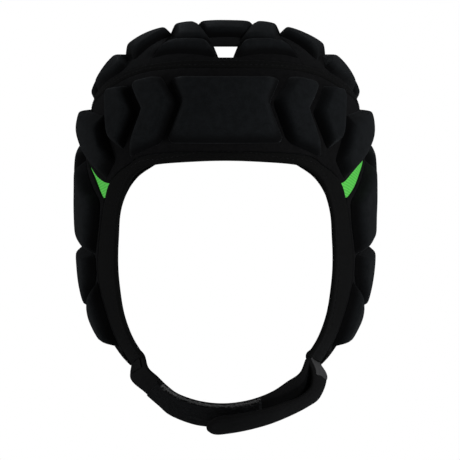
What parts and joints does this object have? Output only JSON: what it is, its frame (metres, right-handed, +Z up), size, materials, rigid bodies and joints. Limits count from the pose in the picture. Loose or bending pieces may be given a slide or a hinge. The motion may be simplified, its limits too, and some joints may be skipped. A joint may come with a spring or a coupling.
{
  "type": "rugby scrum cap",
  "caption": "Soft black padded rugby headguard with sewn foam pads, ear openings, green mesh slits and a hook-and-loop chin strap",
  "frame": {"origin": "inside top of the crown, where the cap sits on the head", "axes": "+Z up, the face opening looks along -Y, +X is to the right in the front view"},
  "size_m": [0.1906, 0.2075, 0.25],
  "materials": {
    "cloth": "matt stretch knit",
    "foam": "stretch knit over foam, soft sheen",
    "mesh": "bright green lining mesh",
    "webbing": "soft padded strap cloth",
    "loop": "fuzzy loop pile",
    "satin": "satin woven patch"
  },
  "bodies": {
    "root": {"front_panel": "cloth", "face_band": "cloth", "crown_seam_tape": "cloth", "crown_centre_panel": "cloth", "crown_side_panel_right": "cloth", "crown_side_panel_left": "cloth", "side_panel_right": "cloth", "side_panel_left": "cloth", "rear_hem": "cloth", "gusset_right": "mesh", "gusset_left": "mesh", "brow_pad_centre": "foam", "crown_bar_front": "foam", "crown_bar_rear": "foam", "brow_pad_1_right": "foam", "brow_pad_1_left": "foam", "brow_pad_2_right": "foam", "brow_pad_2_left": "foam", "temple_pad_right": "foam", "temple_pad_left": "foam", "cheek_pad_upper_right": "foam", "cheek_pad_upper_left": "foam", "cheek_pad_middle_right": "foam", "cheek_pad_middle_left": "foam", "cheek_pad_lower_right": "foam", "cheek_pad_lower_left": "foam", "ear_pad_upper_right": "foam", "ear_pad_upper_left": "foam", "ear_pad_rear_right": "foam", "ear_pad_rear_left": "foam", "ear_pad_lower_right": "foam", "ear_pad_lower_left": "foam", "crown_side_pad_3_right": "foam", "crown_side_pad_3_left": "foam", "crown_side_pad_4_right": "foam", "crown_side_pad_4_left": "foam", "crown_side_pad_5_right": "foam", "crown_side_pad_5_left": "foam", "nape_pad_right": "foam", "nape_pad_left": "foam", "crown_pad_1_right": "foam", "crown_pad_1_left": "foam", "crown_pad_2_right": "foam", "crown_pad_2_left": "foam", "crown_pad_3_right": "foam", "crown_pad_3_left": "foam", "crown_pad_4_right": "foam", "crown_pad_4_left": "foam", "crown_pad_5_right": "foam", "crown_pad_5_left": "foam", "crown_side_pad_1_right": "foam", "crown_side_pad_1_left": "foam", "crown_side_pad_2_right": "foam", "crown_side_pad_2_left": "foam", "strap_left": "webbing", "strap_right": "webbing", "strap_tab": "webbing", "loop_patch": "loop", "keeper_patch": "satin"}
  },
  "joints": []
}
